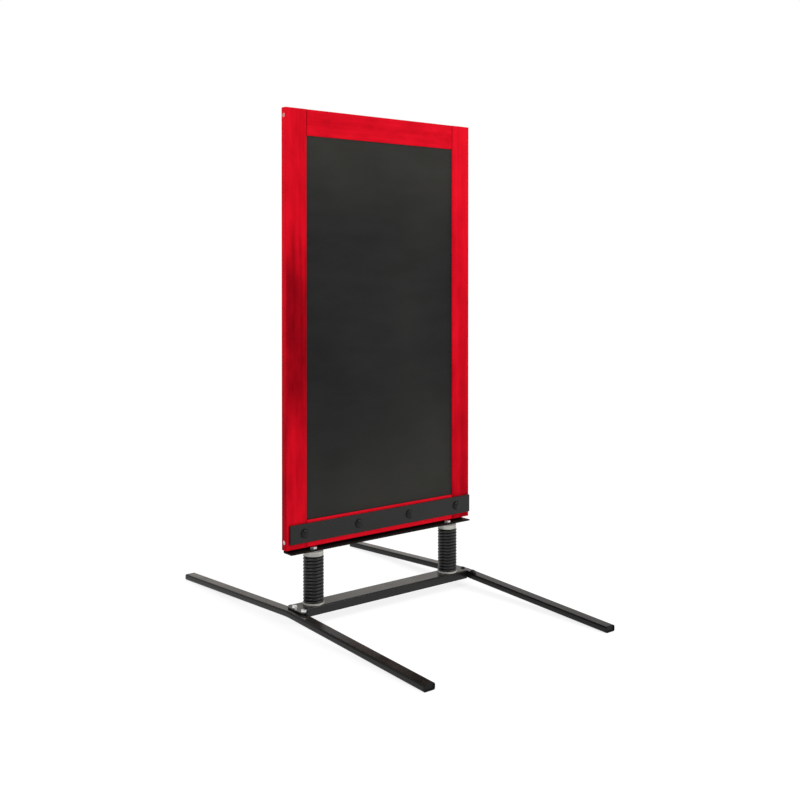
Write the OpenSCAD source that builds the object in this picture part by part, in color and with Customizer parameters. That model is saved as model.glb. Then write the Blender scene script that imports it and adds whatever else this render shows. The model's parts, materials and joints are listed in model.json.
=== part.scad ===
// Sprung pavement sign: a framed chalkboard on two closed-coil springs and a splayed steel base.
// Millimetres, +Z up. The origin is on the floor, midway between the two springs.
// The writing side that carries the strap faces -Y.

/* [Board] */
// Height of the timber frame
board_h = 1150; // [1000:10:1200]
// Width of the timber frame
board_w = 642; // [600:2:660]
// Thickness of the timber
timber_t = 20; // [18:1:22]
// Width of the two upright stiles
stile_w = 65; // [60:1:75]
// Height of the top rail
top_rail_h = 69; // [60:1:80]
// Height of the bottom rail
bottom_rail_h = 71; // [70:1:90]
// Thickness of the chalk panel
panel_t = 12; // [9:1:14]

/* [Springs] */
// Distance between the two spring axes
spring_pitch_x = 471; // [440:1:480]
// Outside diameter of the coil
spring_od = 55; // [52:1:57]
// Diameter of the spring wire
wire_d = 8.2; // [7.6:0.1:8.4]
// Number of turns
turns = 13; // [12:1:13]
// Height of the coil between its two plugs
coil_h = 122.6; // [118:0.2:124]

/* [Base] */
// Length of the base channel
bar_len = 575; // [560:1:575]
// Width of the base channel
bar_w = 57; // [55:1:60]
// Top of the base channel above the floor
bar_top = 47.4; // [46:0.2:50]
// Reach of each foot from the channel's centre line
foot_reach = 552; // [450:2:600]
// Distance between the centre lines of the two feet
foot_pitch_x = 609; // [609:1:612]

/* [Hidden] */
$fn = 48;
eps = 0.01;
clear = 0.1;
cut = 1;

// Board placement
board_front = 1;
groove = 10;
base_plug_t = 5;
top_plug_t = 12;
angle_t = 4;
bolt_gap = 7;
coil_z0 = bar_top + base_plug_t;
coil_z1 = coil_z0 + coil_h;
angle_z0 = coil_z1 + top_plug_t;
board_z0 = angle_z0 + angle_t + bolt_gap;
board_z1 = board_z0 + board_h;
board_mid = board_front + timber_t / 2;
board_rear = board_front + timber_t;
panel_play = 0.5;
panel_w = board_w - 2 * stile_w + 2 * (groove - panel_play);
panel_h = board_h - top_rail_h - bottom_rail_h + 2 * (groove - panel_play);
round_r = 2;

// Strap, angle and the bolts that clamp the board between them
strap_len = 630;
strap_shift = 4.5;
strap_h = 50;
strap_t = 6;
strap_lift = 14;
strap_z0 = board_z0 + strap_lift;
strap_bolt_z = strap_z0 + strap_h / 2;
strap_bolt_xs = [-266, -88.7, 88.7, 266];
angle_len = 626;
angle_front = -13;
angle_h = 78;
m8_r = 4;
m8_hole_r = 4.5;
m8_af = 13;
m8_head_h = 5.3;
thread_out = 3;
thread_play = 0.05;
washer_t = 1.6;
washer_play = 0.3;

// Springs and their plugs
wire_r = wire_d / 2;
coil_r = spring_od / 2 - wire_r;
ring_steps = 24;
wire_sides = 8;
spigot_play = 0.3;
spigot_r = coil_r - wire_r - spigot_play;
spigot_h = 24;
plug_bore_r = 5.1;
plug_inset = 1;
top_plug_r = spring_od / 2 - plug_inset;
m10_r = 5;
m10_hole_r = 5.5;
m10_af = 17;
m10_head_h = 6.4;
m10_nut_h = 8;
m10_washer_r = 10;
plug_bolt_len = 32;

// Base
bar_t = 4;
bar_h = 23;
foot_w = 33;
foot_h = 16.5;
foot_wall = 2;
foot_r = 4.5;
cap_t = 4;
cap_plug = 18;
cap_play = 1.2;
cap_head_play = 0.2;
cap_plug_r = 1.5;
hub_top = bar_top - bar_t;
foot_over = 20;
foot_slope = atan((hub_top - foot_h) / (foot_reach - cap_t));
foot_bend_z = hub_top - foot_h / cos(foot_slope) - clear / 2;
hub_out = 306;
hub_front = -57;
hub_front_r = 12;
hub_rear_r = 18;
foot_bolt_ys = [-2, -44];
foot_bolt_x = 296;
foot_bolt_len = 12;
low_head_r = 7;
low_head_h = 3.5;

// Timber joints
screw_inset = 20;
screw_r = 3;
screw_len = 110;
screw_head_r = 5.5;
screw_head_t = 3;
screw_sink = 0.5;
slot_half = 3;
slot_w = 1.2;
slot_depth = 1.5;
dowel_r = 5;
dowel_len = 60;
dowel_gap = 31;
screw_zs = [board_z0 + screw_inset, board_z1 - screw_inset];
dowel_zs = [board_z0 + screw_inset + dowel_gap, board_z1 - screw_inset - dowel_gap];

paint = [0.80, 0.06, 0.12];
slate = [0.20, 0.20, 0.19];
black = [0.13, 0.13, 0.13];
zinc = [0.78, 0.79, 0.80];
grey = [0.62, 0.62, 0.60];
bare_wood = [0.80, 0.66, 0.45];
plastic = [0.09, 0.09, 0.09];

// ---- shared shapes ----

// Box between two corner points
module span(lo, hi)
    translate(lo)
        cube(hi - lo);

// Cylinder along +Y from y0 to y1
module rod_y(x, z, r, y0, y1)
    translate([x, y0, z])
        rotate([-90, 0, 0])
            cylinder(r = r, h = y1 - y0);

// Corner radius of a hexagon by its across-flats size
function hex_r(af) = af / 2 / cos(30);

// Hexagonal prism standing on z = 0
module hex(af, h)
    cylinder(r = hex_r(af), h = h, $fn = 6);

// Flat washer standing on z = 0
module washer(r_out, r_in, t)
    difference() {
        cylinder(r = r_out, h = t);
        translate([0, 0, -cut])
            cylinder(r = r_in, h = t + 2 * cut);
    }

// Hexagonal nut standing on z = 0
module nut(af, r_in, h)
    difference() {
        hex(af, h);
        translate([0, 0, -cut])
            cylinder(r = r_in, h = h + 2 * cut);
    }

// Rectangular bar along +Y from y0 to y1, with rounded edges and its underside on z = 0
module round_bar(w, h, r, y0, y1) {
    for (x = [r - w / 2, w / 2 - r], z = [r, h - r])
        rod_y(x, z, r, y0, y1);
    span([r - w / 2, y0, 0], [w / 2 - r, y1, h]);
    span([-w / 2, y0, r], [w / 2, y1, h - r]);
}

// ---- timber frame ----

// Right-hand stile: rounded outer edges, and a groove along its inner edge for the panel
module stile() {
    x0 = board_w / 2 - stile_w;
    x1 = board_w / 2;
    difference() {
        union() {
            span([x0, board_front, board_z0], [x1 - round_r, board_rear, board_z1]);
            span([x0, board_front + round_r, board_z0], [x1, board_rear - round_r, board_z1]);
            for (y = [board_front + round_r, board_rear - round_r])
                translate([x1 - round_r, y, board_z0])
                    cylinder(r = round_r, h = board_h);
        }
        panel_groove();
        joint_holes();
        strap_bolt_holes();
    }
}

module stile_right()
    color(paint)
        stile();

module stile_left()
    color(paint)
        mirror([1, 0, 0])
            stile();

module rail(z0, z1)
    difference() {
        span([-(board_w / 2 - stile_w), board_front, z0], [board_w / 2 - stile_w, board_rear, z1]);
        panel_groove();
        joint_holes();
        mirror([1, 0, 0])
            joint_holes();
    }

module rail_top()
    color(paint)
        rail(board_z1 - top_rail_h, board_z1);

module rail_bottom()
    color(paint)
        difference() {
            rail(board_z0, board_z0 + bottom_rail_h);
            strap_bolt_holes();
        }

// Space that the panel's edge takes in all four members
module panel_groove() {
    w = board_w / 2 - stile_w + groove;
    t = panel_t / 2 + clear;
    span([-w, board_mid - t, board_z0 + bottom_rail_h - groove],
         [w, board_mid + t, board_z1 - top_rail_h + groove]);
}

module chalk_panel() {
    z0 = board_z0 + bottom_rail_h - groove + panel_play;
    color(slate)
        span([-panel_w / 2, board_mid - panel_t / 2, z0],
             [panel_w / 2, board_mid + panel_t / 2, z0 + panel_h]);
}

// Screw and dowel holes of the right-hand joints
module joint_holes() {
    seam = board_w / 2 - stile_w;
    for (z = screw_zs)
        translate([board_w / 2, board_mid, z])
            rotate([0, -90, 0]) {
                translate([0, 0, -cut])
                    cylinder(r = screw_head_r + clear, h = screw_sink + screw_head_t + cut);
                cylinder(r = screw_r + clear, h = screw_len + cut);
            }
    for (z = dowel_zs)
        translate([seam - dowel_len / 2 - cut, board_mid, z])
            rotate([0, 90, 0])
                cylinder(r = dowel_r + clear, h = dowel_len + 2 * cut);
}

// One hidden dowel beside each corner screw
module frame_dowels()
    color(bare_wood)
        for (side = [-1, 1], z = dowel_zs)
            translate([side * (board_w / 2 - stile_w) - dowel_len / 2, board_mid, z])
                rotate([0, 90, 0])
                    cylinder(r = dowel_r, h = dowel_len);

// Screws driven in from the board's two side edges
module corner_screws()
    color(zinc)
        for (side = [0, 1], z = screw_zs)
            mirror([side, 0, 0])
                translate([board_w / 2 - screw_sink, board_mid, z])
                    rotate([0, -90, 0])
                        difference() {
                            union() {
                                cylinder(r = screw_head_r, h = screw_head_t);
                                cylinder(r = screw_r, h = screw_len - cut);
                            }
                            for (turn = [0, 90])
                                rotate([0, 0, turn])
                                    span([-slot_half, -slot_w / 2, -cut],
                                         [slot_half, slot_w / 2, slot_depth]);
                        }

// ---- strap, angle and clamping bolts ----

module strap_bolt_holes()
    for (x = strap_bolt_xs)
        rod_y(x, strap_bolt_z, m10_hole_r, board_front - strap_t - cut, board_rear + angle_t + cut);

module front_strap()
    color(black)
        difference() {
            span([strap_shift - strap_len / 2, board_front - strap_t, strap_z0],
                 [strap_shift + strap_len / 2, board_front, strap_z0 + strap_h]);
            strap_bolt_holes();
        }

// Angle behind the board whose lower leg runs forward under it, clear of the timber
module support_angle()
    color(black)
        difference() {
            union() {
                span([-angle_len / 2, board_rear, angle_z0],
                     [angle_len / 2, board_rear + angle_t, angle_z0 + angle_h]);
                span([-angle_len / 2, angle_front, angle_z0],
                     [angle_len / 2, board_rear + angle_t, angle_z0 + angle_t]);
            }
            strap_bolt_holes();
            for (side = [-1, 1])
                translate([side * spring_pitch_x / 2, 0, angle_z0 - cut])
                    cylinder(r = m10_hole_r, h = angle_t + 2 * cut);
        }

// Domed coach bolts: head in front of the strap, thread out behind the angle
module strap_bolts() {
    head_r = 12.3;
    head_h = 5.8;
    ball_r = (head_r * head_r + head_h * head_h) / (2 * head_h);
    tail = board_rear + angle_t + washer_t + m10_nut_h + thread_out;
    color(black)
        for (x = strap_bolt_xs)
            translate([x, board_front - strap_t, strap_bolt_z]) {
                rotate([90, 0, 0])
                    intersection() {
                        translate([0, 0, head_h - ball_r])
                            sphere(r = ball_r, $fn = 64);
                        cylinder(r = head_r, h = head_h + cut);
                    }
                rotate([-90, 0, 0])
                    cylinder(r = m10_r, h = tail - board_front + strap_t);
            }
}

module strap_washers()
    color(zinc)
        for (x = strap_bolt_xs)
            translate([x, board_rear + angle_t, strap_bolt_z])
                rotate([-90, 0, 0])
                    washer(m10_washer_r, m10_r + washer_play, washer_t);

module strap_nuts()
    color(zinc)
        for (x = strap_bolt_xs)
            translate([x, board_rear + angle_t + washer_t, strap_bolt_z])
                rotate([-90, 0, 0])
                    nut(m10_af, m10_r + thread_play, m10_nut_h);

// ---- springs ----

// Ring number i of the wire's surface, at a height that rises by one pitch in each turn
function wire_ring(i) =
    let (t = i / ring_steps,
         a = 360 * t,
         z = coil_z0 + wire_r + clear + t * (coil_h - wire_d - 2 * clear) / turns)
    [for (j = [0:wire_sides - 1])
        let (b = 360 * (j + 0.5) / wire_sides,
             r = coil_r + wire_r * cos(b))
        [r * cos(a), r * sin(a), z + wire_r * sin(b)]];

module coil_spring() {
    rings = turns * ring_steps;
    points = [for (i = [0:rings], p = wire_ring(i)) p];
    walls = [for (i = [0:rings - 1], j = [0:wire_sides - 1])
        let (k = (j + 1) % wire_sides,
             a = i * wire_sides + j,
             b = i * wire_sides + k,
             c = a + wire_sides,
             d = b + wire_sides)
        each [[a, c, d], [a, d, b]]];
    start = [[for (j = [0:wire_sides - 1]) j]];
    finish = [[for (j = [wire_sides - 1:-1:0]) rings * wire_sides + j]];
    polyhedron(points, concat(walls, start, finish));
}

module spring_left()
    color(black)
        translate([-spring_pitch_x / 2, 0, 0])
            coil_spring();

module spring_right()
    color(black)
        translate([spring_pitch_x / 2, 0, 0])
            coil_spring();

// Flanged plug screwed into one end of a spring, with its flange on z = 0 and its spigot upwards
module plug(flange_r, flange_t)
    difference() {
        union() {
            cylinder(r = flange_r, h = flange_t);
            cylinder(r = spigot_r, h = flange_t + spigot_h);
        }
        translate([0, 0, -cut])
            cylinder(r = plug_bore_r, h = flange_t + spigot_h + 2 * cut);
    }

module bottom_plug(side)
    color(grey)
        translate([side * spring_pitch_x / 2, 0, bar_top])
            plug(bar_w / 2, base_plug_t);

module bottom_plug_left()
    bottom_plug(-1);

module bottom_plug_right()
    bottom_plug(1);

module top_plug(side)
    color(grey)
        translate([side * spring_pitch_x / 2, 0, angle_z0])
            mirror([0, 0, 1])
                plug(top_plug_r, top_plug_t);

module top_plug_left()
    top_plug(-1);

module top_plug_right()
    top_plug(1);

// Hexagonal bolts down through the angle's lower leg into the top plugs
module top_spring_bolts()
    color(zinc)
        for (side = [-1, 1])
            translate([side * spring_pitch_x / 2, 0, angle_z0 + angle_t]) {
                hex(m10_af, m10_head_h);
                translate([0, 0, -plug_bolt_len])
                    cylinder(r = m10_r, h = plug_bolt_len + eps);
            }

// Hexagonal bolts up through the channel into the bottom plugs
module bottom_spring_bolts()
    color(zinc)
        for (side = [-1, 1])
            translate([side * spring_pitch_x / 2, 0, hub_top - washer_t - m10_head_h]) {
                hex(m10_af, m10_head_h);
                cylinder(r = m10_r, h = m10_head_h + plug_bolt_len);
            }

module bottom_spring_washers()
    color(zinc)
        for (side = [-1, 1])
            translate([side * spring_pitch_x / 2, 0, hub_top - washer_t])
                washer(m10_washer_r, m10_r + washer_play, washer_t);

// ---- base ----

// Folded channel, open downwards, with rounded top edges
module base_bar() {
    r = 4;
    x = bar_len / 2;
    y = bar_w / 2;
    z0 = bar_top - bar_h;
    color(black)
        difference() {
            union() {
                span([-x, -y, z0], [x, y, bar_top - r]);
                span([-x, r - y, z0], [x, y - r, bar_top]);
                for (side = [-1, 1])
                    translate([-x, side * (y - r), bar_top - r])
                        rotate([0, 90, 0])
                            cylinder(r = r, h = bar_len);
            }
            span([-x - cut, bar_t - y, z0 - cut], [x + cut, y - bar_t, hub_top]);
            for (side = [-1, 1])
                translate([side * spring_pitch_x / 2, 0, z0])
                    cylinder(r = m10_hole_r, h = bar_h + cut);
        }
}

// Plate welded to the channel's right-hand end, flush with its top, which lies over the foot.
// Its two outer corners are rounded.
module hub_plate() {
    x0 = bar_len / 2;
    y1 = bar_w / 2;
    difference() {
        intersection() {
            union() {
                span([x0, hub_front, hub_top], [hub_out - hub_front_r, y1 - hub_rear_r, bar_top]);
                span([x0, hub_front, hub_top], [hub_out - hub_rear_r, y1, bar_top]);
                span([x0, hub_front + hub_front_r, hub_top], [hub_out, y1 - hub_rear_r, bar_top]);
                translate([hub_out - hub_front_r, hub_front + hub_front_r, hub_top])
                    cylinder(r = hub_front_r, h = bar_t);
                translate([hub_out - hub_rear_r, y1 - hub_rear_r, hub_top])
                    cylinder(r = hub_rear_r, h = bar_t);
            }
            span([x0, hub_front - cut, hub_top - cut], [hub_out + cut, y1 + cut, bar_top + cut]);
        }
        for (y = foot_bolt_ys)
            translate([foot_bolt_x, y, hub_top - cut])
                cylinder(r = m8_hole_r, h = bar_t + 2 * cut);
    }
}

module hub_plate_right()
    color(black)
        hub_plate();

module hub_plate_left()
    color(black)
        mirror([1, 0, 0])
            hub_plate();

// Half of a foot's solid outline, running from its bend under the channel out to +Y
module foot_half(w, h, r, inset)
    intersection() {
        translate([0, 0, foot_bend_z])
            rotate([-foot_slope, 0, 0])
                translate([0, 0, inset])
                    round_bar(w, h, r, -foot_over, foot_reach + foot_over);
        span([-w, 0, -foot_over], [w, foot_reach - cap_t, hub_top + foot_over]);
    }

// Rectangular tube with rounded edges, bent once in the middle so that both ends slope to the floor
module foot(side)
    color(black)
        difference() {
            translate([side * foot_pitch_x / 2, 0, 0])
                difference() {
                    for (turn = [0, 1])
                        mirror([0, turn, 0])
                            foot_half(foot_w, foot_h, foot_r, 0);
                    for (turn = [0, 1])
                        mirror([0, turn, 0])
                            foot_half(foot_w - 2 * foot_wall, foot_h - 2 * foot_wall,
                                      foot_r - foot_wall, foot_wall);
                    span([-foot_w, foot_reach - cap_t - eps, -cut], [foot_w, foot_reach, hub_top]);
                    span([-foot_w, -foot_reach, -cut], [foot_w, cap_t - foot_reach + eps, hub_top]);
                }
            for (y = foot_bolt_ys)
                translate([side * foot_bolt_x, y, bar_top - foot_bolt_len - cut])
                    cylinder(r = m8_r + thread_play, h = foot_bolt_len);
        }

module foot_left()
    foot(-1);

module foot_right()
    foot(1);

// Plastic cap: a flat-bottomed end plate and a plug that sits level inside the tube's end
module end_cap(side, way)
    color(plastic)
        mirror([side < 0 ? 1 : 0, 0, 0])
            mirror([0, way < 0 ? 1 : 0, 0])
                translate([foot_pitch_x / 2, 0, 0]) {
                    round_bar(foot_w, foot_h, foot_r, foot_reach - cap_t, foot_reach);
                    translate([0, 0, foot_wall + cap_play])
                        round_bar(foot_w - 2 * foot_wall - cap_play,
                                  foot_h - 2 * foot_wall - cap_play - cap_head_play, cap_plug_r,
                                  foot_reach - cap_t - cap_plug, foot_reach - cap_t + eps);
                }

module end_cap_front_left()
    end_cap(-1, -1);

module end_cap_front_right()
    end_cap(1, -1);

module end_cap_rear_left()
    end_cap(-1, 1);

module end_cap_rear_right()
    end_cap(1, 1);

// Bolts through a hub plate into the foot's upper wall
module foot_bolts(side)
    for (y = foot_bolt_ys)
        translate([side * foot_bolt_x, y, bar_top]) {
            children();
            translate([0, 0, -foot_bolt_len])
                cylinder(r = m8_r, h = foot_bolt_len + eps);
        }

// Bright hexagonal heads on the left
module foot_bolts_left()
    color(zinc)
        foot_bolts(-1)
            hex(m8_af, m8_head_h);

// Dark low round heads on the right
module foot_bolts_right()
    color(black)
        foot_bolts(1)
            cylinder(r = low_head_r, h = low_head_h);

stile_left();
stile_right();
rail_top();
rail_bottom();
frame_dowels();
corner_screws();
chalk_panel();
front_strap();
support_angle();
strap_bolts();
strap_washers();
strap_nuts();
top_plug_left();
top_plug_right();
top_spring_bolts();
spring_left();
spring_right();
bottom_plug_left();
bottom_plug_right();
bottom_spring_washers();
bottom_spring_bolts();
base_bar();
hub_plate_left();
hub_plate_right();
foot_left();
foot_right();
end_cap_front_left();
end_cap_front_right();
end_cap_rear_left();
end_cap_rear_right();
foot_bolts_left();
foot_bolts_right();
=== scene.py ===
import json
import math

import bmesh
import bpy
from mathutils import Matrix, Vector


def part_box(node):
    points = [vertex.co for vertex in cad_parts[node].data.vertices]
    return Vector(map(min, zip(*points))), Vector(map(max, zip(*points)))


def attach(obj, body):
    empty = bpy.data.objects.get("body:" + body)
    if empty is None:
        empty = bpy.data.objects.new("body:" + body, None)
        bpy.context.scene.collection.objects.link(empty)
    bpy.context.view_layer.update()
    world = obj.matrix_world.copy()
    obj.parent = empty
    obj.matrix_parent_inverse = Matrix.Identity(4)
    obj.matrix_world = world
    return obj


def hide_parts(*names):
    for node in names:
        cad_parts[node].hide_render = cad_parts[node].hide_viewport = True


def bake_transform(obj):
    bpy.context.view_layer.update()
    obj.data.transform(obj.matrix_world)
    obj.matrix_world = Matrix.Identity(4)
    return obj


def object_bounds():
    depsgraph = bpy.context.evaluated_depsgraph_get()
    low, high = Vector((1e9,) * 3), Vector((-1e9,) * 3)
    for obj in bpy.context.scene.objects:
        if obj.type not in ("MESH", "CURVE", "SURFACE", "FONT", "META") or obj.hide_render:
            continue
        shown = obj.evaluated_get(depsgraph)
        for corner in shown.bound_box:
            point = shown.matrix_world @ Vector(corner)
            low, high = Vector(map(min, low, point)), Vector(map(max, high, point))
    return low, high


# Looks for the sprung pavement sign: a red framed chalkboard on two springs over a black steel base.
# Metres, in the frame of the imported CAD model. The places of all pieces come from the CAD nodes' own boxes.

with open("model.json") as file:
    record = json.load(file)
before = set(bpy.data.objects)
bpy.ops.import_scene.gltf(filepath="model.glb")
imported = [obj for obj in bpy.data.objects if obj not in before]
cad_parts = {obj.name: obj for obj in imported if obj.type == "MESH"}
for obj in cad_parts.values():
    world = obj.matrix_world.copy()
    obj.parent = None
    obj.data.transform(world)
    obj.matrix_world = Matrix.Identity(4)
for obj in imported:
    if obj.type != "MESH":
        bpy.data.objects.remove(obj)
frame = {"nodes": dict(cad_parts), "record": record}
CAD_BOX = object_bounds()
NODES = frame["nodes"]
SLOT_OF = {part["node"]: part["material_slot"] for part in frame["record"]["subparts"]}
BODY_OF = {n: body for body, members in frame["record"]["behaviour"]["bodies"].items() for n in members}

MM = 0.001
# Points closer than this count as one
MERGE = 1e-6
# Faces that meet at less than FLAT_ANGLE are joined, and at more than SHARP_ANGLE they show a crease
FLAT_ANGLE = math.radians(1)
SHARP_ANGLE = math.radians(35)
# Sides of everything that is turned
ROUND_SIDES = 48

# Radii of the softened edges; a bevel has EDGE_STEPS facets, and an edge shorter than LONG_EDGE stays sharp
TIMBER_EDGE = 1.8 * MM
STEEL_EDGE = 1.0 * MM
BAR_EDGE = 0.8 * MM
PLATE_EDGE = 0.6 * MM
LONG_EDGE = 5 * MM
EDGE_STEPS = 4

# Dark joint line at each end of a rail: its width, the share of it that fades in, and how dark it is
SEAM = 2.4 * MM
SEAM_FADE = 0.4
SEAM_DARK = 0.55

# Springs: wire, coil, the share of the wire's radius that is ground off at each end, and the plugs' flanges
WIRE_R = 4.35 * MM
WIRE_SIDES = 14
GROUND_SHARE = 0.9
COIL_R = 23.15 * MM
COIL_PITCH = 8.785 * MM
COIL_STEPS = 48
BOTTOM_FLANGE = 5 * MM
TOP_FLANGE = 12 * MM
FLANGE_EDGE = 0.9 * MM
SPIGOT_PLAY = 0.5 * MM
SPRING_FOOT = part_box("base_bar")[1].z + BOTTOM_FLANGE
SPRING_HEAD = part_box("support_angle")[0].z - TOP_FLANGE

# Fasteners: width across flats, shank radius and thread pitch
M8_AF = 13 * MM
M8_R = 4 * MM
M8_PITCH = 1.25 * MM
M10_AF = 17 * MM
M10_R = 5 * MM
M10_PITCH = 1.5 * MM

# Depth of the threads, softened edge of a washer, socket of the low bolts, and thickness of the ledge
THREAD_DEPTH = 0.45 * MM
WASHER_EDGE = 0.25 * MM
SOCKET_R = 2.6 * MM
LEDGE_THICK = 4 * MM

# Heads: the face and the ring on it as shares of the width across flats, and the straight rim of a dome as a
# share of its height
FACE_SHARE = 0.47
RING_SHARE = 0.42
CHAMFER_ANGLE = math.radians(30)
CHAMFER_STEPS = 5
RIM_SHARE = 0.2

# Feet: corner radius of their section, the least one inside a cap's recess, and how far each way they bend
FOOT_CORNER = 4.5 * MM
LEAST_CORNER = 0.4 * MM
FOOT_CORNER_STEPS = 6
BEND = 14 * MM

# Hub plates: radii of the two outer corners
HUB_FRONT_CORNER = 12 * MM
HUB_REAR_CORNER = 18 * MM
HUB_CORNER_STEPS = 12

# End caps: how far each ring lies behind the tip and inside the outline, in millimetres
CAP_RINGS = ((4, 0), (1.2, 0), (0.4, 0.35), (0, 1.2), (0, 2.6), (0.4, 3.0), (2.6, 3.3))

# Room: its strength on the dim and on the bright side, and how far toward BRIGHT_WAY each of them ends
WHITE = (1, 1, 1, 1)
WORLD_DIM = 0.20
WORLD_BRIGHT = 0.55
BRIGHT_WAY = Vector((0.5, 0.62, 0.6)).normalized()
BRIGHT_RANGE = (-0.8, 0.35)

# Backdrop: its strength, where it stands, how softly it starts sideways, and the heights where it fades out
BACKDROP = 0.98
BACKDROP_TINT = (1, 0.95, 0.90, 1)
BACKDROP_WAY = Vector((0.62, 0.78, 0))
BACKDROP_START = (-0.1, 0.5)
BACKDROP_TOP = (0.29, 0.39)

# Lights: azimuth and elevation in degrees, power in watts and size in metres
KEY_LIGHT = (27, 24, 44, 1.2)
FILL_LIGHT = (-73, 26, 40, 1.4)
LIGHT_AIM = Vector((0, 0, 0.5))
LIGHT_DISTANCE = 4

# Floor
FLOOR_REACH = 30
FLOOR_GAP = 0.1 * MM
FLOOR_COLOUR = (0.42, 0.42, 0.42, 1)
FLOOR_GLOW = 0.78

# Camera
CAMERA_PLACE = (-1.8295, -2.3307, 0.9263)
CAMERA_TURN = (math.radians(90 - 0.53), 0, math.radians(-39.01))
SENSOR_WIDTH = 36
LENS = 48.10
SHIFT_Y = -0.15


# ---- mesh helpers ----


def skin(bm, rings, loop=False):
    """Joins rings of points with quads; the ends are closed by a face each, unless the rings form a loop."""
    rows = [[bm.verts.new(p) for p in ring] for ring in rings]
    following = rows[1:] + (rows[:1] if loop else [])
    for a, b in zip(rows, following):
        for i in range(len(a)):
            j = (i + 1) % len(a)
            bm.faces.new((a[i], a[j], b[j], b[i]))
    if not loop:
        bm.faces.new(rows[0][::-1])
        bm.faces.new(rows[-1])


def circle(r, h, place):
    """A ring of points round the local Z axis of place."""
    turns = [2 * math.pi * i / ROUND_SIDES for i in range(ROUND_SIDES)]
    return [place @ Vector((r * math.cos(a), r * math.sin(a), h)) for a in turns]


def turned(bm, profile, place, loop=False):
    """Turns (radius, height) pairs about the local Z axis of place."""
    skin(bm, [circle(r, h, place) for r, h in profile], loop)


def hexagonal(bm, af, levels, place, bore=0):
    """A hexagon whose corners are cut back to a (cone radius, height) at each level; a nut has a bore."""
    rings = []
    for cone, h in levels:
        ring = []
        for i in range(ROUND_SIDES):
            a = math.radians(360 * i / ROUND_SIDES)
            off_flat = math.radians(360 * i / ROUND_SIDES % 60 - 30)
            r = min(cone, af / 2 / math.cos(off_flat))
            ring.append(place @ Vector((r * math.cos(a), r * math.sin(a), h)))
        rings.append(ring)
    if bore:
        rings += [circle(bore, h, place) for h in (levels[-1][1], levels[0][1])]
    skin(bm, rings, loop=bool(bore))


def chamfer(af, h0, h1):
    """Levels for the face at h1 of a hexagon that starts at h0; the corners fall away from a circle on it."""
    face_r = FACE_SHARE * af
    corner_r = af / 2 / math.cos(math.radians(30))
    fall = (corner_r - face_r) * math.tan(CHAMFER_ANGLE)
    way = 1 if h1 > h0 else -1
    levels = []
    for i in range(CHAMFER_STEPS, -1, -1):
        share = i / CHAMFER_STEPS
        levels.append((face_r + share * (corner_r - face_r), h1 - way * share * fall))
    return levels


def thread(r, z0, z1, pitch):
    """Profile of a threaded shank: ridges from z0 to z1."""
    count = max(1, int((z1 - z0) / pitch))
    profile = []
    for i in range(count):
        z = z0 + (z1 - z0) * i / count
        profile += [(r - THREAD_DEPTH, z), (r, z + (z1 - z0) / count / 2)]
    return profile + [(r - THREAD_DEPTH, z1)]


def solids(name):
    """(lowest corner, highest corner) of each separate solid in a CAD node."""
    bm = bmesh.new()
    bm.from_mesh(NODES[name].data)
    bmesh.ops.remove_doubles(bm, verts=bm.verts, dist=MERGE)
    left = set(bm.verts)
    boxes = []
    while left:
        stack = [left.pop()]
        points = []
        while stack:
            v = stack.pop()
            points.append(v.co.copy())
            near = [e.other_vert(v) for e in v.link_edges]
            stack += [n for n in near if n in left]
            left.difference_update(near)
        lo = Vector([min(p[k] for p in points) for k in range(3)])
        hi = Vector([max(p[k] for p in points) for k in range(3)])
        boxes.append((lo, hi))
    bm.free()
    return sorted(boxes, key=lambda box: tuple(round(c, 5) for c in box[0]))


def make_piece(node, bm):
    """Turns bm into a smooth piece that stands for a CAD node."""
    bmesh.ops.recalc_face_normals(bm, faces=bm.faces)
    mesh = bpy.data.meshes.new(node + ".look")
    bm.to_mesh(mesh)
    bm.free()
    mesh.polygons.foreach_set("use_smooth", [True] * len(mesh.polygons))
    mesh.set_sharp_from_angle(angle=SHARP_ANGLE)
    obj = bpy.data.objects.new(node + ".look", mesh)
    bpy.context.scene.collection.objects.link(obj)
    normals = obj.modifiers.new("normals", "WEIGHTED_NORMAL")
    normals.keep_sharp = True
    normals.weight = 100
    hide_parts(node)
    return obj


def finish_piece(node, bm, material):
    """Makes a rigid piece, with its material, on the body of the node it replaces."""
    obj = make_piece(node, bm)
    obj.data.materials.append(material)
    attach(obj, BODY_OF[node])
    return obj


def rounded_copy(node, radius, material, along_faces="y"):
    """A copy of a CAD node whose long sharp edges on its two broad faces are rounded."""
    lo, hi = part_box(node)
    k = "xyz".index(along_faces)
    bm = bmesh.new()
    bm.from_mesh(NODES[node].data)
    bmesh.ops.remove_doubles(bm, verts=bm.verts, dist=MERGE)
    bmesh.ops.dissolve_limit(bm, angle_limit=FLAT_ANGLE, verts=bm.verts, edges=bm.edges)

    def on_broad_face(e):
        return all(min(abs(v.co[k] - lo[k]), abs(v.co[k] - hi[k])) < 10 * MERGE for v in e.verts)

    sharp = [
        e
        for e in bm.edges
        if e.is_manifold
        and e.calc_face_angle() > SHARP_ANGLE
        and e.calc_length() > LONG_EDGE
        and on_broad_face(e)
    ]
    bmesh.ops.bevel(
        bm,
        geom=sharp,
        offset=radius,
        segments=EDGE_STEPS,
        profile=0.5,
        affect="EDGES",
        clamp_overlap=True,
    )
    return finish_piece(node, bm, material)


def at(x, y, z, tilt=0):
    """A placement at a point, whose local Z is tilted about X by so many degrees: -90 is +Y and 90 is -Y."""
    return Matrix.Translation((x, y, z)) @ Matrix.Rotation(math.radians(tilt), 4, "X")


# ---- material helpers ----


def new_material(name):
    """A material with its Principled shader and nothing else."""
    material = bpy.data.materials.new(name)
    material.use_nodes = True
    return material


def shader_of(material):
    return material.node_tree.nodes["Principled BSDF"]


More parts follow.
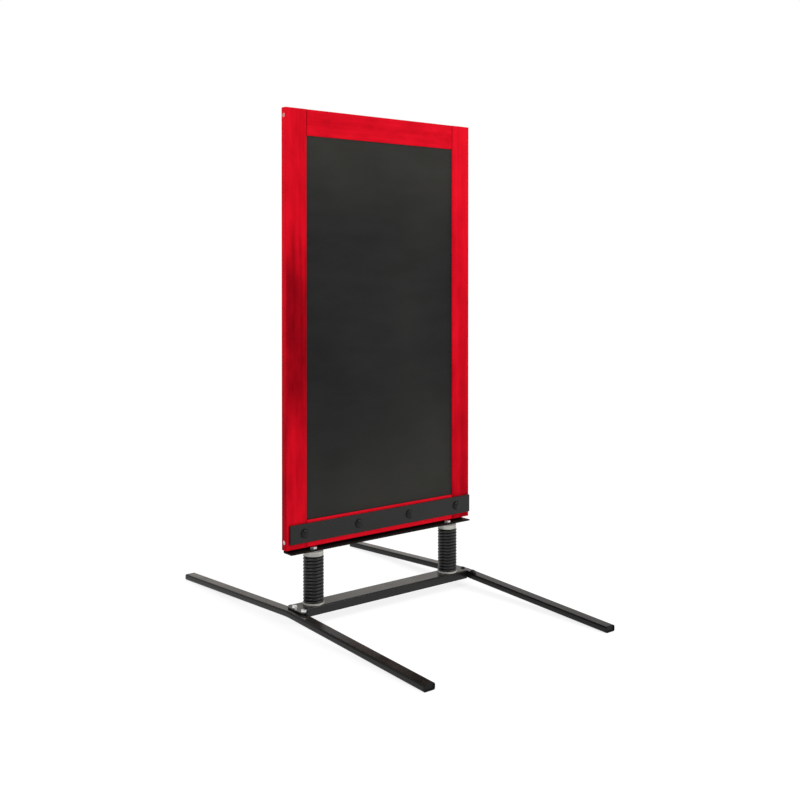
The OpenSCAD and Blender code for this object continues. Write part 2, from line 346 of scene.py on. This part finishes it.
def feed(material, socket, value):
    """Links value to socket if it is a socket itself, and sets it otherwise."""
    if isinstance(value, bpy.types.NodeSocket):
        material.node_tree.links.new(value, socket)
    else:
        socket.default_value = value


def add(material, kind, inputs, **settings):
    """A new node with its settings and inputs."""
    node = material.node_tree.nodes.new("ShaderNode" + kind)
    for key, value in settings.items():
        setattr(node, key, value)
    for key, value in inputs.items():
        feed(material, node.inputs[key], value)
    return node


def coordinates(material, scale, shift=(0, 0, 0)):
    """The piece's own coordinates in metres, stretched by scale and moved by shift."""
    place = add(material, "TexCoord", {}).outputs["Object"]
    inputs = {"Vector": place, "Scale": scale, "Location": shift}
    return add(material, "Mapping", inputs).outputs["Vector"]


def axis_value(material, axis):
    """One of the piece's own coordinates."""
    place = add(material, "TexCoord", {}).outputs["Object"]
    return add(material, "SeparateXYZ", {"Vector": place}).outputs[axis]


def noise(material, scale, detail=3, roughness=0.55, shift=(0, 0, 0)):
    """Noise with so many features a metre along each axis."""
    place = coordinates(material, scale, shift)
    inputs = {"Vector": place, "Scale": 1, "Detail": detail, "Roughness": roughness}
    return add(material, "TexNoise", inputs).outputs["Fac"]


def sums(material, operation, a, b):
    """One step of arithmetic on numbers or sockets."""
    return add(material, "Math", {0: a, 1: b}, operation=operation).outputs[0]


def spread(material, value, low, high, to_low, to_high, smooth=True):
    """Maps value from one range to another, held at its ends."""
    inputs = {"Value": value, "From Min": low, "From Max": high, "To Min": to_low, "To Max": to_high}
    kind = "SMOOTHSTEP" if smooth else "LINEAR"
    return add(material, "MapRange", inputs, interpolation_type=kind).outputs["Result"]


def ramp(material, value, stops):
    """Colours by value, from (place, colour) pairs."""
    node = add(material, "ValToRGB", {"Fac": value})
    points = node.color_ramp.elements
    while len(points) < len(stops):
        points.new(1)
    for point, (place, colour) in zip(points, stops):
        point.position = place
        point.color = (*colour, 1)
    return node.outputs["Color"]


def blend_colours(material, share, a, b):
    """Colour a at share 0 and b at share 1."""
    node = add(material, "Mix", {}, data_type="RGBA")
    feed(material, node.inputs[0], share)
    feed(material, node.inputs[6], a)
    feed(material, node.inputs[7], b)
    return node.outputs[2]


def bump(material, height, strength, depth):
    """A normal that is rough by height."""
    inputs = {"Height": height, "Strength": strength, "Distance": depth}
    return add(material, "Bump", inputs).outputs["Normal"]


def set_shader(material, **values):
    """Sets the shader's own sockets; underscores stand for spaces."""
    for key, value in values.items():
        feed(material, shader_of(material).inputs[key.replace("_", " ")], value)


# ---- materials ----


def red_timber(name, upright, low_tone, high_tone, shift=0, dark_patch=0, painted_side_shade=0):
    """Red satin paint over grain that runs along the member. The tone goes from low to high up the board;
    where the two differ, the darker bottom is painted shade. A rail has a joint line at each end, and the
    left stile is darkened as stile_patch_and_side_shade says."""
    material = new_material(name)
    lo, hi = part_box("stile_left")
    long_way = (1, 1, 0.03) if upright else (0.03, 1, 1)
    streaks = noise(material, [90 * k for k in long_way], 4, 0.6, (shift, 0, shift))
    bands = noise(material, [30 * k for k in long_way], 2, 0.5, (shift, 3, 0))
    blotches = noise(material, [24, 24, 9] if upright else [14, 24, 30], 3, 0.55, (0, shift, 1))
    grain = noise(material, [900 * k for k in long_way], 3, 0.6)
    tone = spread(material, axis_value(material, "Z"), lo.z, hi.z, low_tone, high_tone, smooth=False)
    for layer, weight in ((streaks, 0.28), (bands, 0.40), (blotches, 0.55), (grain, 0.16)):
        swing = sums(material, "MULTIPLY", sums(material, "SUBTRACT", layer, 0.5), weight)
        tone = sums(material, "ADD", tone, swing)
    if not upright:
        tone = sums(material, "SUBTRACT", tone, joint_lines(material))
    if dark_patch:
        tone = sums(material, "SUBTRACT", tone, stile_patch_and_side_shade(material, lo, hi, bands, dark_patch, painted_side_shade))
    stops = [
        (0.10, (0.195, 0.0014, 0.0048)),
        (0.38, (0.41, 0.0026, 0.0093)),
        (0.60, (0.61, 0.0041, 0.0138)),
        (0.85, (0.80, 0.0068, 0.0205)),
    ]
    set_shader(
        material,
        Base_Color=ramp(material, tone, stops),
        Roughness=spread(material, streaks, 0.3, 0.7, 0.5, 0.38),
        Normal=bump(material, sums(material, "ADD", grain, streaks), 0.3, 0.25 * MM),
        Specular_IOR_Level=0.012,
        Specular_Tint=(1, 0.05, 0.08, 1),
    )
    return material


def joint_lines(material):
    """How dark a rail is where its ends meet the stiles."""
    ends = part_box("rail_top")[1].x
    across = sums(material, "ABSOLUTE", axis_value(material, "X"), 0)
    return spread(material, across, ends - SEAM, ends - (1 - SEAM_FADE) * SEAM, 0, SEAM_DARK)


def stile_patch_and_side_shade(material, lo, hi, bands, dark_patch, painted_side_shade):
    """How dark the left stile is: a darker patch on its broad faces, and painted shade that darkens its side
    toward the bottom.
    """
    outer = spread(material, axis_value(material, "X"), lo.x + 1.0 * MM, lo.x + 2.5 * MM, 1, 0)
    front = dark_patch_mask(material, lo, hi, bands, dark_patch)
    # painted shade: the outer side face grows darker toward the bottom
    side = spread(material, axis_value(material, "Z"), lo.z, hi.z, painted_side_shade, 0, smooth=False)
    return add(material, "Mix", {0: outer, 2: front, 3: side}, data_type="FLOAT").outputs[0]


def dark_patch_mask(material, lo, hi, bands, strength):
    """How dark the patch is: strongest a little below mid-height, with ragged ends that follow the grain."""
    reach = hi.z - lo.z
    ragged = sums(material, "MULTIPLY", sums(material, "SUBTRACT", bands, 0.5), 0.3 * reach)
    height = sums(material, "ADD", axis_value(material, "Z"), ragged)
    above = spread(material, height, lo.z + 0.12 * reach, lo.z + 0.42 * reach, 0, strength)
    below = spread(material, height, lo.z + 0.58 * reach, lo.z + 0.76 * reach, 1, 0)
    return sums(material, "MULTIPLY", above, below)


def chalk_surface():
    """Matt dark board with a soft chalk haze, faint wipes and a fine tooth."""
    material = new_material("chalk_surface")
    wipes = noise(material, (6, 6, 18), 4, 0.6)
    tooth = noise(material, (1500, 1500, 1500), 2, 0.5)
    stops = [
        (0.30, (0.0045, 0.0045, 0.0045)),
        (0.48, (0.0085, 0.0086, 0.0080)),
        (0.72, (0.0200, 0.0198, 0.0165)),
    ]
    speckled = blend_colours(
        material,
        spread(material, tooth, 0.62, 0.8, 0, 0.25),
        ramp(material, chalk_haze(material, wipes), stops),
        (0.045, 0.045, 0.042, 1),
    )
    set_shader(
        material,
        Base_Color=speckled,
        Roughness=spread(material, wipes, 0.3, 0.7, 0.62, 0.74),
        Normal=bump(material, tooth, 0.3, 0.12 * MM),
        Specular_IOR_Level=0.2,
    )
    return material


def chalk_haze(material, wipes):
    """Tone of the board: clouds and wipes, with more haze toward its top, its bottom and its right side."""
    cloud = noise(material, (2.6, 2.6, 1.7), 2, 0.5, (3.1, 0, 0.4))
    low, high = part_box("chalk_panel")
    tall = high.z - low.z
    offset = sums(material, "SUBTRACT", axis_value(material, "Z"), low.z + 0.50 * tall)
    away = sums(material, "ABSOLUTE", offset, 0)
    ends = spread(material, away, 0.055 * tall, 0.55 * tall, 0, 0.31)
    across = spread(material, axis_value(material, "X"), low.x, high.x, 0.045, 0.065, smooth=False)
    tone = sums(material, "MULTIPLY", cloud, 0.62)
    tone = sums(material, "ADD", tone, sums(material, "MULTIPLY", wipes, 0.08))
    return sums(material, "ADD", tone, sums(material, "ADD", ends, across))


def black_steel(name, dust_and_sheen_share, rough, gloss):
    """Powder coat with orange peel and a thin film of warm dust on what faces up. The film is partly
    painted sheen: it lightens and warms the tops as their reflection would.
    """
    material = new_material(name)
    peel = noise(material, (700, 700, 700), 2, 0.5)
    cloud = noise(material, (14, 14, 14), 3, 0.55)
    normal = add(material, "TexCoord", {}).outputs["Normal"]
    up = add(material, "SeparateXYZ", {"Vector": normal}).outputs["Z"]
    facing = spread(material, up, 0.6, 1, 0, 1)
    # dust on faces that look up, partly painted sheen: it lightens and warms their tops as a reflection would
    dust_and_sheen = sums(material, "MULTIPLY", facing, spread(material, cloud, 0.3, 0.7, 0.3 * dust_and_sheen_share, dust_and_sheen_share))
    coat = ramp(material, cloud, [(0.3, (0.0040, 0.0040, 0.0040)), (0.7, (0.0075, 0.0073, 0.0069))])
    set_shader(
        material,
        Base_Color=blend_colours(material, dust_and_sheen, coat, (0.040, 0.034, 0.028, 1)),
        Roughness=spread(material, cloud, 0.3, 0.7, rough, rough + 0.1),
        Normal=bump(material, peel, 0.1, 0.12 * MM),
        Specular_IOR_Level=gloss,
    )
    return material


def spring_steel():
    """Semi-gloss black on the coils, with a faint peel and small worn spots."""
    material = new_material("spring_steel")
    peel = noise(material, (500, 500, 500), 2, 0.5)
    worn = noise(material, (90, 90, 90), 4, 0.65)
    stops = [(0.35, (0.005, 0.005, 0.005)), (0.66, (0.009, 0.009, 0.009)), (0.8, (0.013, 0.013, 0.012))]
    set_shader(
        material,
        Base_Color=ramp(material, worn, stops),
        Roughness=spread(material, worn, 0.3, 0.7, 0.38, 0.46),
        Normal=bump(material, peel, 0.01, 0.12 * MM),
        Specular_IOR_Level=0.4,
    )
    return material


def grey_plug():
    """Moulded light grey plastic, a little grimy."""
    material = new_material("grey_plug")
    grime = noise(material, (45, 45, 70), 4, 0.6)
    pores = noise(material, (1100, 1100, 1100), 2, 0.5)
    stops = [(0.3, (0.28, 0.275, 0.26)), (0.5, (0.43, 0.425, 0.395)), (0.7, (0.52, 0.515, 0.485))]
    set_shader(
        material,
        Base_Color=ramp(material, grime, stops),
        Roughness=spread(material, grime, 0.3, 0.7, 0.6, 0.45),
        Normal=bump(material, pores, 0.2, 0.1 * MM),
        Specular_IOR_Level=0.4,
    )
    return material


def black_plastic():
    """Moulded black plastic with a fine leathery texture."""
    material = new_material("black_plastic")
    texture = noise(material, (800, 800, 800), 3, 0.6)
    scuffs = noise(material, (60, 60, 60), 4, 0.6)
    set_shader(
        material,
        Base_Color=ramp(material, scuffs, [(0.4, (0.004, 0.004, 0.004)), (0.75, (0.011, 0.011, 0.010))]),
        Roughness=spread(material, scuffs, 0.3, 0.7, 0.42, 0.58),
        Normal=bump(material, texture, 0.25, 0.15 * MM),
        Specular_IOR_Level=0.15,
    )
    return material


def plated(name, dark, light):
    """Plated steel: small crystals of slightly different tone, and fine scratches."""
    material = new_material(name)
    place = coordinates(material, (260, 260, 260))
    crystals = add(material, "TexVoronoi", {"Vector": place, "Scale": 1}).outputs["Color"]
    crystal = add(material, "SeparateColor", {"Color": crystals}).outputs["Red"]
    scratches = noise(material, (90, 1500, 300), 3, 0.6)
    set_shader(
        material,
        Base_Color=ramp(material, crystal, [(0, dark), (1, light)]),
        Metallic=1,
        Roughness=spread(material, scratches, 0.3, 0.7, 0.24, 0.4),
        Normal=bump(material, scratches, 0.12, 0.08 * MM),
    )
    return material


def bare_dowel():
    """Plain beech with grain along X."""
    material = new_material("bare_dowel")
    grain = noise(material, (20, 400, 400), 4, 0.6)
    set_shader(
        material,
        Base_Color=ramp(material, grain, [(0.3, (0.42, 0.26, 0.13)), (0.7, (0.62, 0.45, 0.26))]),
        Roughness=spread(material, grain, 0.3, 0.7, 0.6, 0.75),
        Normal=bump(material, grain, 0.3, 0.1 * MM),
        Specular_IOR_Level=0.3,
    )
    return material


def make_materials():
    """Every material by name. The steels differ in their dust with painted sheen, roughness and gloss."""
    return {
        "chalk_surface": chalk_surface(),
        "black_steel": black_steel("black_steel", 0.8, 0.24, 0.29),
        "foot_steel": black_steel("foot_steel", 0.55, 0.22, 0.17),
        "angle_steel": black_steel("angle_steel", 0.1, 0.5, 0.10),
        "strap_bolts": black_steel("strap_bolts", 0, 0.30, 0.20),
        "spring_steel": spring_steel(),
        "grey_plug": grey_plug(),
        "black_plastic": black_plastic(),
        "zinc_steel": plated("zinc_steel", (0.46, 0.46, 0.47), (0.66, 0.66, 0.66)),
        "bright_zinc": plated("bright_zinc", (0.80, 0.80, 0.81), (0.96, 0.96, 0.96)),
        "black_bolts": plated("black_bolts", (0.025, 0.025, 0.026), (0.055, 0.055, 0.056)),
        "bare_dowel": bare_dowel(),
    }


def dress(node, material):
    """Gives a CAD node that stays in view its material."""
    for s in NODES[node].material_slots:
        s.link = "OBJECT"
        s.material = material


# ---- board ----


def make_frame():
    """The four timbers; each has its own grain and its own tone from bottom to top, which on the right stile
    is painted shade.
    """
    paints = {
        # left stile: a darker patch on its broad faces, and painted shade down its side toward the bottom
        "stile_left": red_timber("red_stile_left", True, 0.62, 0.62, 2, dark_patch=0.38, painted_side_shade=0.40),
        # painted shade: the right stile darkens toward its bottom
        "stile_right": red_timber("red_stile_right", True, 0.38, 0.80, 5),
        "rail_top": red_timber("red_rail_top", False, 0.66, 0.66, 9),
        "rail_bottom": red_timber("red_rail_bottom", False, 0.84, 0.84, 13),
    }
    for node, paint in paints.items():
        rounded_copy(node, TIMBER_EDGE, paint)


def make_strap_bolts(material):
    """Domed heads with a thin rim, and threaded tails behind the angle."""
    bm = bmesh.new()
    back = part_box("support_angle")[1].y
    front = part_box("front_strap")[0].y
    for lo, hi in solids("strap_bolts"):
        centre = (lo + hi) / 2
        head_r = (hi.x - lo.x) / 2
        rise = front - lo.y
        place = at(centre.x, front, centre.z, 90)
        profile = [(M10_R, -(back - front)), (M10_R, 0), (head_r, 0), *dome(head_r, rise, quarter(9))]
        tail = thread(M10_R, -(hi.y - front), -(back - front), M10_PITCH)
        turned(bm, [*tail, *profile], place)
    return finish_piece("strap_bolts", bm, material)


def quarter(count):
    """Angles from 0 to just under a right angle."""
    return [math.radians(89) * i / count for i in range(count + 1)]


def dome(head_r, rise, angles):
    """Profile of a domed head above its straight rim."""
    return [(head_r * math.cos(a), rise * (RIM_SHARE + (1 - RIM_SHARE) * math.sin(a))) for a in angles]


def make_strap_washers(material):
    """Flat washers with softened edges."""
    bm = bmesh.new()
    e = WASHER_EDGE
    for lo, hi in solids("strap_washers"):
        thick = hi.y - lo.y
        r = (hi.x - lo.x) / 2
        profile = [(M10_R, 0), (r - e, 0), (r, e), (r, thick - e), (r - e, thick), (M10_R, thick)]
        turned(bm, profile, at((lo.x + hi.x) / 2, lo.y, (lo.z + hi.z) / 2, -90), loop=True)
    return finish_piece("strap_washers", bm, material)


def make_strap_nuts(material):
    """Hexagonal nuts, chamfered on both faces."""
    bm = bmesh.new()
    for lo, hi in solids("strap_nuts"):
        height = hi.y - lo.y
        levels = chamfer(M10_AF, height, 0)[::-1] + chamfer(M10_AF, 0, height)
        place = at((lo.x + hi.x) / 2, lo.y, (lo.z + hi.z) / 2, -90)
        hexagonal(bm, M10_AF, levels, place, bore=M10_R)
    return finish_piece("strap_nuts", bm, material)


def hex_bolts(node, af, shank_r, pitch, head_base, head_h, material):
    """Hexagonal heads that stand up from head_base, each on a threaded shank that goes down."""
    bm = bmesh.new()
    for lo, hi in solids(node):
        place = at((lo.x + hi.x) / 2, (lo.y + hi.y) / 2, head_base)
        levels = [(af, 0), *chamfer(af, 0, head_h), (RING_SHARE * af, head_h)]
        hexagonal(bm, af, levels, place)
        turned(bm, thread(shank_r, lo.z - head_base, MM, pitch), place)
    return finish_piece(node, bm, material)


def make_low_bolts(node, plate_top, material):
    """Low round heads, each with a round socket in its top and a threaded shank that goes down."""
    bm = bmesh.new()
    for lo, hi in solids(node):
        place = at((lo.x + hi.x) / 2, (lo.y + hi.y) / 2, plate_top)
        head_r = (hi.x - lo.x) / 2
        rise = hi.z - plate_top
        socket = [(SOCKET_R, rise), (SOCKET_R, 0.35 * rise), (0.2 * MM, 0.3 * rise)]
        shank = thread(M8_R, lo.z - plate_top, 0, M8_PITCH)
        turned(bm, [*shank, (head_r, 0), *dome(head_r, rise, quarter(7)[:-2]), *socket], place)
    return finish_piece(node, bm, material)


# ---- springs ----


def wire_ring(centre, turn, height, low, high):
    """One section of the wire, ground flat where it would pass the plug below or above."""
    ring = []
    for j in range(WIRE_SIDES):
        b = 2 * math.pi * j / WIRE_SIDES
        r = COIL_R + WIRE_R * math.cos(b)
        z = min(max(height + WIRE_R * math.sin(b), low), high)
        ring.append(Vector((centre.x + r * math.cos(turn), centre.y + r * math.sin(turn), z)))
    return ring


def make_spring(side, material):
    """Closed coil with ground ends, from its foot to its head."""
    node = "spring_" + side
    lo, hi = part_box(node)
    centre = (lo + hi) / 2
    over = GROUND_SHARE * WIRE_R
    low, high = SPRING_FOOT, SPRING_HEAD
    start, end = low - over, high + over
    steps = int((end - start) / COIL_PITCH * COIL_STEPS)
    rings = []
    for i in range(steps + 1):
        height = start + (end - start) * i / steps
        rings.append(wire_ring(centre, 2 * math.pi * i / COIL_STEPS, height, low, high))
    bm = bmesh.new()
    skin(bm, rings)
    obj = make_piece(node, bm)
    obj.data.materials.append(material)
    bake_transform(obj)
    return obj


def make_plug(node, material):
    """Turned plug: a flange with softened edges, and a spigot inside the coil."""
    lo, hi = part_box(node)
    top = node.startswith("top")
    flange_r = (hi.x - lo.x) / 2
    flange_t = (hi.z - SPRING_HEAD) if top else (SPRING_FOOT - lo.z)
    length = hi.z - lo.z
    e = min(FLANGE_EDGE, flange_t / 4)
    inner = COIL_R - WIRE_R - SPIGOT_PLAY
    flange = [(flange_r - e, 0), (flange_r - 0.3 * e, 0.3 * e), (flange_r, e)]
    flange += [(r, flange_t - h) for r, h in reversed(flange)]
    spigot = [(inner, flange_t), (inner, length - e), (inner - e, length)]
    centre = (lo + hi) / 2
    place = at(centre.x, centre.y, hi.z, 180) if top else at(centre.x, centre.y, lo.z)
    bm = bmesh.new()
    turned(bm, [(M10_R, 0), *flange, *spigot, (M10_R, length)], place, loop=True)
    return finish_piece(node, bm, material)


# ---- base ----


def rounded_outline(width, height, inset=0):
    """Rectangle with rounded corners that stands on 0, as (across, up) pairs, drawn in by inset."""
    r = max(FOOT_CORNER - inset, LEAST_CORNER)
    points = []
    for i, (side, top) in enumerate(((1, 0), (1, 1), (-1, 1), (-1, 0))):
        corner_x = side * (width / 2 - inset - r)
        corner_z = height - inset - r if top else inset + r
        for k in range(FOOT_CORNER_STEPS + 1):
            a = math.radians(-90 + 90 * i + 90 * k / FOOT_CORNER_STEPS)
            points.append((corner_x + r * math.cos(a), corner_z + r * math.sin(a)))
    return points


def make_foot(side, material):
    """Rounded tube, softly bent in the middle; each half falls to the floor at its tip."""
    node = "foot_" + side
    lo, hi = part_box(node)
    cap_lo, cap_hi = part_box("end_cap_front_" + side)
    height = cap_hi.z - cap_lo.z
    outline = rounded_outline(hi.x - lo.x, height)
    x = (lo.x + hi.x) / 2
    slope = math.atan((hi.z - cap_hi.z) / hi.y)
    half = [reach * k for reach in (hi.y, BEND) for k in (1, 0.75, 0.5, 0.25)]
    rings = []
    for y in [-y for y in half] + [0] + half[::-1]:
        at_tip = abs(y) == hi.y
        level = max(abs(y), (y * y / BEND + BEND) / 2 if abs(y) < BEND else 0)
        under = hi.z - height / math.cos(slope) - level * math.tan(slope)
        lean = 0 if at_tip else math.copysign(min(abs(y) / BEND, 1) * slope, y)
        stand = 1 / math.cos(slope) if at_tip else math.cos(lean)
        rings.append([(x + u, y + v * math.sin(lean), under + v * stand) for u, v in outline])
    bm = bmesh.new()
    skin(bm, rings)
    return finish_piece(node, bm, material)


def make_end_cap(way, side, material):
    """Cap with a soft rim round a shallow recess."""
    node = f"end_cap_{way}_{side}"
    lo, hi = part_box(node)
    tip, inward = (lo.y, 1) if way == "front" else (hi.y, -1)
    x = (lo.x + hi.x) / 2
    rings = []
    for back, inset in CAP_RINGS:
        y = tip + inward * back * MM
        outline = rounded_outline(hi.x - lo.x, hi.z - lo.z, inset * MM)
        rings.append([(x + u, y, lo.z + v) for u, v in outline])
    bm = bmesh.new()
    skin(bm, rings)
    return finish_piece(node, bm, material)


def hub_outline(lo, hi, side, inset):
    """Outline of a hub plate, drawn in by inset; both of its outer corners are rounded."""
    out = -1 if side == "left" else 1
    inner, outer = (hi.x, lo.x) if side == "left" else (lo.x, hi.x)
    points = [(inner, lo.y + inset), (inner, hi.y - inset)]
    corners = ((hi.y - HUB_REAR_CORNER, HUB_REAR_CORNER, 90), (lo.y + HUB_FRONT_CORNER, HUB_FRONT_CORNER, 0))
    for y, corner_r, first in corners:
        r = corner_r - inset
        for i in range(HUB_CORNER_STEPS + 1):
            a = math.radians(first - 90 * i / HUB_CORNER_STEPS)
            points.append((outer - out * (corner_r - r * math.cos(a)), y + r * math.sin(a)))
    return points


def make_hub_plate(side, material):
    """Plate over the foot, with softened edges."""
    node = "hub_plate_" + side
    lo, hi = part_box(node)
    e = PLATE_EDGE
    levels = ((e, lo.z), (0, lo.z + e), (0, hi.z - e), (0.3 * e, hi.z - 0.3 * e), (e, hi.z))
    bm = bmesh.new()
    skin(bm, [[(x, y, z) for x, y in hub_outline(lo, hi, side, inset)] for inset, z in levels])
    return finish_piece(node, bm, material)


def make_base(materials):
    """The channel, the two feet with their plates and caps, and the feet's bolts."""
    black = materials["black_steel"]
    rounded_copy("base_bar", BAR_EDGE, black, "x")
    for side in ("left", "right"):
        make_hub_plate(side, black)
        make_foot(side, materials["foot_steel"])
        for way in ("front", "rear"):
            make_end_cap(way, side, materials["black_plastic"])
    plate_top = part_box("hub_plate_left")[1].z
    head_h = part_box("foot_bolts_left")[1].z - plate_top
    hex_bolts("foot_bolts_left", M8_AF, M8_R, M8_PITCH, plate_top, head_h, materials["bright_zinc"])
    make_low_bolts("foot_bolts_right", plate_top, materials["black_bolts"])


def make_board(materials):
    """The frame, and the strap and the angle that clamp its bottom rail, with their fasteners."""
    make_frame()
    rounded_copy("front_strap", STEEL_EDGE, materials["black_steel"])
    rounded_copy("support_angle", STEEL_EDGE, materials["angle_steel"], "x")
    make_strap_bolts(materials["strap_bolts"])
    make_strap_washers(materials["zinc_steel"])
    make_strap_nuts(materials["zinc_steel"])
    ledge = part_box("support_angle")[0].z + LEDGE_THICK
    head_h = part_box("top_spring_bolts")[1].z - ledge
    hex_bolts("top_spring_bolts", M10_AF, M10_R, M10_PITCH, ledge, head_h, materials["zinc_steel"])


def make_springs(materials):
    """Both springs with the plugs in their ends."""
    for side in ("left", "right"):
        make_spring(side, materials["spring_steel"])
        make_plug("top_plug_" + side, materials["grey_plug"])
        make_plug("bottom_plug_" + side, materials["grey_plug"])


# ---- studio ----


def smooth_range(tree, value, span, to_low, to_high):
    """Smoothly maps a world value over a span to another range."""
    node = tree.nodes.new("ShaderNodeMapRange")
    node.interpolation_type = "SMOOTHSTEP"
    for key, number in zip(("From Min", "From Max", "To Min", "To Max"), (*span, to_low, to_high)):
        node.inputs[key].default_value = number
    tree.links.new(value, node.inputs["Value"])
    return node.outputs["Result"]


def toward(tree, where, way):
    """How far a world direction points a given way."""
    node = tree.nodes.new("ShaderNodeVectorMath")
    node.operation = "DOT_PRODUCT"
    node.inputs[1].default_value = way
    tree.links.new(where, node.inputs[0])
    return node.outputs["Value"]


def world_glow(tree, colour, strength):
    """An even glow of one colour."""
    node = tree.nodes.new("ShaderNodeBackground")
    node.inputs["Color"].default_value = colour
    node.inputs["Strength"].default_value = strength
    return node


def mixed(tree, share, a, b):
    """Glow a at share 0 and b at share 1."""
    node = tree.nodes.new("ShaderNodeMixShader")
    for output, socket in zip((share, a, b), node.inputs):
        tree.links.new(output, socket)
    return node.outputs[0]


def make_world():
    """Studio that is dim on the viewer's side, with a bright backdrop low down beyond the sign.
    The camera sees it plain white."""
    world = bpy.data.worlds.new("studio")
    bpy.context.scene.world = world
    world.use_nodes = True
    tree = world.node_tree
    where = tree.nodes.new("ShaderNodeTexCoord").outputs["Generated"]
    parts = tree.nodes.new("ShaderNodeSeparateXYZ")
    tree.links.new(where, parts.inputs[0])
    room = tree.nodes["Background"]
    room.inputs["Color"].default_value = WHITE
    bright = smooth_range(tree, toward(tree, where, BRIGHT_WAY), BRIGHT_RANGE, WORLD_DIM, WORLD_BRIGHT)
    tree.links.new(bright, room.inputs["Strength"])
    beyond = smooth_range(tree, toward(tree, where, BACKDROP_WAY), BACKDROP_START, 0, 1)
    low_down = smooth_range(tree, parts.outputs["Z"], BACKDROP_TOP, 1, 0)
    both = tree.nodes.new("ShaderNodeMath")
    both.operation = "MULTIPLY"
    tree.links.new(beyond, both.inputs[0])
    tree.links.new(low_down, both.inputs[1])
    backdrop = world_glow(tree, BACKDROP_TINT, BACKDROP)
    around = mixed(tree, both.outputs[0], room.outputs[0], backdrop.outputs[0])
    seen = tree.nodes.new("ShaderNodeLightPath").outputs["Is Camera Ray"]
    plain = world_glow(tree, WHITE, 1)
    picture = mixed(tree, seen, around, plain.outputs[0])
    tree.links.new(picture, tree.nodes["World Output"].inputs["Surface"])


def soft_box(name, azimuth, elevation, power, size):
    """Square area light aimed at the board; azimuth 0 stands in front of it and 90 at its right."""
    a, e = math.radians(azimuth), math.radians(elevation)
    away = Vector((math.sin(a) * math.cos(e), -math.cos(a) * math.cos(e), math.sin(e)))
    data = bpy.data.lights.new(name, "AREA")
    data.energy = power
    data.shape = "SQUARE"
    data.size = size
    light = bpy.data.objects.new(name, data)
    light.location = LIGHT_AIM + LIGHT_DISTANCE * away
    light.rotation_mode = "QUATERNION"
    light.rotation_quaternion = away.to_track_quat("Z", "Y")
    bpy.context.scene.collection.objects.link(light)


def make_floor():
    """Plain near-white floor, lightly lit from within so that only soft contact shadows show."""
    bm = bmesh.new()
    level = CAD_BOX[0].z - FLOOR_GAP
    signs = ((-1, -1), (1, -1), (1, 1), (-1, 1))
    bm.faces.new([bm.verts.new((FLOOR_REACH * i, FLOOR_REACH * j, level)) for i, j in signs])
    mesh = bpy.data.meshes.new("floor")
    bm.to_mesh(mesh)
    bm.free()
    floor = bpy.data.objects.new("floor", mesh)
    bpy.context.scene.collection.objects.link(floor)
    material = new_material("floor")
    set_shader(
        material,
        Base_Color=FLOOR_COLOUR,
        Roughness=0.9,
        Specular_IOR_Level=0.0,
        Emission_Color=WHITE,
        Emission_Strength=FLOOR_GLOW,
    )
    mesh.materials.append(material)


def make_camera():
    """Camera in front of the sign and to its left."""
    data = bpy.data.cameras.new("camera")
    data.sensor_width = SENSOR_WIDTH
    data.lens = LENS
    data.shift_y = SHIFT_Y
    data.clip_start = 0.05
    data.clip_end = 100
    camera = bpy.data.objects.new("camera", data)
    camera.location = CAMERA_PLACE
    camera.rotation_euler = CAMERA_TURN
    bpy.context.scene.collection.objects.link(camera)
    bpy.context.scene.camera = camera


def make_studio():
    """Everything round the sign, and the picture's plain colour transform."""
    make_world()
    make_floor()
    make_camera()
    soft_box("key", *KEY_LIGHT)
    soft_box("fill", *FILL_LIGHT)
    bpy.context.scene.view_settings.view_transform = "Standard"
    bpy.context.scene.view_settings.look = "None"


all_materials = make_materials()
for kept in ("chalk_panel", "frame_dowels", "corner_screws", "bottom_spring_bolts", "bottom_spring_washers"):
    dress(kept, all_materials[SLOT_OF[kept]])
make_board(all_materials)
make_springs(all_materials)
make_base(all_materials)
make_studio()
